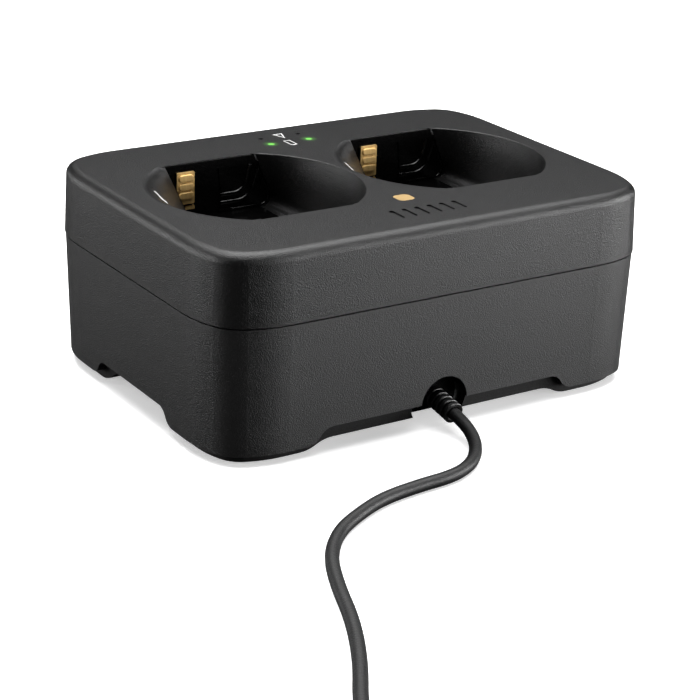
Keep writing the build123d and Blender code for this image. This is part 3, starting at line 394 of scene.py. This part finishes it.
def dress_steel():
    steel = metal("steel", (0.45, 0.45, 0.46), (0.62, 0.62, 0.63), roughness=0.35, metallic=1.0)
    dress(steel, "base_screws", "liner_screws", "board_screws", "light_board_screws", "clamp_screws",
          "left_contact_spring", "right_contact_spring", "plug_shell", "capacitors")


def dress_boards():
    board = plastic("board", (0.01, 0.07, 0.03), (0.02, 0.11, 0.05), roughness=0.4)
    dress(board, "main_board", "light_board")


def dress_nylon():
    nylon = plastic("nylon", (0.66, 0.65, 0.60), (0.74, 0.73, 0.68), roughness=0.45)
    dress(nylon, "cable_header", "cable_housing", "plug_insulator")


def dress_lights():
    """Lit charge lights, unlit fault lights and the parts on the board that light them."""
    dress(glowing("charge_light", (0.02, 0.05, 0.02), CHARGE_GREEN, 0.95), "charge_lenses")
    dress(glowing("fault_light", (0.012, 0.012, 0.012), CHARGE_GREEN, 0.0), "fault_lenses")
    dress(glowing("emitter", (0.2, 0.8, 0.3), CHARGE_GREEN, 1.0), "light_emitters")


def dress_all(lead):
    dress_upper_housing()
    dress_lower_housing()
    dress_liners()
    dress_base()
    dress_rubber()
    dress_cables(lead)
    dress_gold()
    dress_steel()
    dress_boards()
    dress_nylon()
    dress_lights()


# ---- Printed marks ----------------------------------------------------------
INK_THICKNESS = 0.06 * MM
INK_LINE = 0.26 * MM     # width of a printed line
INK_GAP = 0.01 * MM      # between the ink and the plastic, so that they don't touch
SYMBOL_PLACES = ((-1.4 * MM, -41.1 * MM), (-0.3 * MM, -33.2 * MM))     # triangle, battery
TRIANGLE_SIZE = (3.2 * MM, 4.6 * MM)
TRIANGLE_CUT = (4 * INK_LINE, 4.6 * INK_LINE)      # how much smaller its inner outline is
BATTERY_SIZE = (2.1 * MM, 4.6 * MM)
ARROW = [(-2.7, -0.28), (0.7, -0.28), (0.7, -0.85), (2.6, 0.0), (0.7, 0.85), (0.7, 0.28), (-2.7, 0.28)]  # mm
ARROW_PLACE = (-12.4, -3.5)      # middle of the arrow: y from the frame, z from the top face, in mm
ARROW_TILT = -28.0       # degrees


def ink_piece(name, rings, lift):
    """Closed thin solid between an outer and an inner ring of points, or filled if there is one ring."""
    bm = bmesh.new()
    layers = []
    for height in (0.0, INK_THICKNESS):
        layers.append([[bm.verts.new(p + lift * height) for p in ring] for ring in rings])
    low, high = layers
    count = len(rings[0])
    for ring_low, ring_high in zip(low, high):
        for i in range(count):
            j = (i + 1) % count
            bm.faces.new((ring_low[i], ring_low[j], ring_high[j], ring_high[i]))
    for layer in layers:
        if len(layer) == 1:
            bm.faces.new(layer[0])
            continue
        for i in range(count):
            j = (i + 1) % count
            bm.faces.new((layer[0][i], layer[0][j], layer[1][j], layer[1][i]))
    bmesh.ops.recalc_face_normals(bm, faces=bm.faces)
    mesh = bpy.data.meshes.new(name)
    bm.to_mesh(mesh)
    bm.free()
    piece = bpy.data.objects.new(name, mesh)
    bpy.context.scene.collection.objects.link(piece)
    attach(piece, "dock")
    return piece


def top_mark(name, outlines, place):
    """Printed outline on the top face."""
    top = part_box("upper_housing")[1][2]
    rings = []
    for outline in outlines:
        rings.append([Vector((place[0] + x, place[1] + y, top + INK_GAP)) for x, y in outline])
    return ink_piece(name, rings, Vector((0, 0, 1)))


def triangle_outline(width, height):
    """Triangle that points to +Y, its middle at the origin."""
    return [(width / 2, -height / 3), (-width / 2, -height / 3), (0, height * 2 / 3)]


def battery_outline(width, length, terminal):
    """Rectangle along Y with a small terminal at its +Y end."""
    half = length / 2
    flank = width / 2
    tip = half + terminal
    return [(-flank, -half), (flank, -half), (flank, half), (flank / 2, half), (flank / 2, tip),
            (-flank / 2, tip), (-flank / 2, half), (-flank, half)]


def scoop_arrow(name, side):
    """Plain arrow on the +X scoop of a bay, laid on its surface by rays along +X."""
    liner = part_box(side + "_bay_liner")
    start_x = (liner[0][0] + liner[1][0]) / 2
    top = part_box("upper_housing")[1][2]
    turn = radians(ARROW_TILT)
    ring = []
    for along, across in ARROW:
        y = ARROW_PLACE[0] + along * cos(turn) - across * sin(turn)
        z = ARROW_PLACE[1] + along * sin(turn) + across * cos(turn)
        origin = Vector((start_x, y * MM, top + z * MM))
        _, place, normal, _ = nodes["upper_housing"].ray_cast(origin, Vector((1, 0, 0)))
        ring.append(place + normal * INK_GAP)
    return ink_piece(name, [ring], Vector((-1, 0, 0)))


def make_marks():
    base, height = TRIANGLE_SIZE
    triangle = [triangle_outline(base, height),
                triangle_outline(base - TRIANGLE_CUT[0], height - TRIANGLE_CUT[1])]
    width, length = BATTERY_SIZE
    battery = [battery_outline(width, length, INK_LINE * 1.5),
               battery_outline(width - 2 * INK_LINE, length - 2 * INK_LINE, INK_LINE * 0.5)]
    marks = [top_mark("fault_symbol", triangle, SYMBOL_PLACES[0]),
             top_mark("charge_symbol", battery, SYMBOL_PLACES[1])]
    marks += [scoop_arrow(side + "_bay_arrow", side) for side in ("left", "right")]
    ink = plastic("white_ink", (0.62, 0.62, 0.61), (0.74, 0.74, 0.73), 0.5)
    for mark in marks:
        mark.data.materials.append(ink)


# ---- Stage ------------------------------------------------------------------

FLOOR_SIZE = 6.0                 # from its middle to its edge
FLOOR_SEEN = 0.95                # grey of the floor in the picture
FLOOR_BOUNCE = 0.05              # grey of the floor as the dock is lit by it
FLOOR_GLOW = (0.45, 0.70)        # the floor's own light in the picture, near the dock and away from it; lower near the dock as painted shadow round it
FLOOR_NEAR = (0.09, 0.15)        # distances from the dock's middle between which it grows
WORLD_LIGHT = 0.004


def make_floor():
    """White floor that throws little light back at the object, as a dark studio does."""
    mesh = bpy.data.meshes.new("floor")
    bm = bmesh.new()
    bmesh.ops.create_grid(bm, x_segments=1, y_segments=1, size=FLOOR_SIZE)
    bm.to_mesh(mesh)
    bm.free()
    floor = bpy.data.objects.new("floor", mesh)
    bpy.context.scene.collection.objects.link(floor)
    floor.data.materials.append(floor_material())


def floor_material():
    """White to the camera and dark to everything else, with a glow that only the camera sees; the glow is
    weaker near the dock, a painted shadow round it.
    """
    material = new_material("floor", (FLOOR_SEEN, FLOOR_SEEN, FLOOR_SEEN), 1.0)
    links = material.node_tree.links
    shader = shader_of(material)
    shader.inputs["Specular IOR Level"].default_value = 0.0
    shader.inputs["Emission Color"].default_value = (1, 1, 1, 1)
    seen = add_node(material, "ShaderNodeLightPath").outputs["Is Camera Ray"]
    colour = mapped(material, seen, FLOOR_BOUNCE, FLOOR_SEEN, (0.0, 1.0))
    # painted shadow: the glow fades towards the dock's middle
    away = distance_from(material, frame_place(material), (0, 0, 0))
    glow_with_painted_shadow = add_node(material, "ShaderNodeMath", operation="MULTIPLY")
    links.new(mapped(material, away, *FLOOR_GLOW, FLOOR_NEAR), glow_with_painted_shadow.inputs[0])
    links.new(seen, glow_with_painted_shadow.inputs[1])
    links.new(colour, shader.inputs["Base Color"])
    links.new(glow_with_painted_shadow.outputs["Value"], shader.inputs["Emission Strength"])
    return material


def area_light(name, azimuth, elevation, distance, size, power, target=(0, 0, 0.03)):
    """Softbox round the object: azimuth 0 is towards +X and 90 towards +Y."""
    data = bpy.data.lights.new(name, "AREA")
    data.shape = "RECTANGLE"
    data.size, data.size_y = size
    data.energy = power
    light = bpy.data.objects.new(name, data)
    a, e = radians(azimuth), radians(elevation)
    direction = Vector((cos(a) * cos(e), sin(a) * cos(e), sin(e)))
    light.location = Vector(target) + direction * distance
    light.rotation_euler = direction.to_track_quat("Z", "Y").to_euler()
    bpy.context.scene.collection.objects.link(light)


def make_world():
    world = bpy.data.worlds.new("studio")
    world.use_nodes = True
    background = world.node_tree.nodes["Background"]
    background.inputs["Color"].default_value = (1, 1, 1, 1)
    background.inputs["Strength"].default_value = WORLD_LIGHT
    bpy.context.scene.world = world
    bpy.context.scene.view_settings.view_transform = "Standard"


def make_lights():
    """Softboxes all round except on the camera's side, which leaves the near corner dark."""
    area_light("overhead", 237, 78, 0.9, (1.1, 1.1), 24.0)
    area_light("rear_softbox", 118, 4, 0.7, (0.4, 0.2), 2.7)
    area_light("corner_softbox", 152, 5, 0.7, (0.4, 0.2), 4.3)
    area_light("side_softbox", -52, 4, 0.7, (0.4, 0.2), 1.1)
    area_light("side_corner_softbox", -22, 4, 0.7, (0.3, 0.2), 2.1)
    area_light("high_softbox", -30, 40, 0.9, (0.5, 0.5), 0.9)


make_camera()
lead = make_cord()
dress_all(lead)
make_marks()
make_floor()
make_world()
make_lights()
bpy.context.view_layer.update()
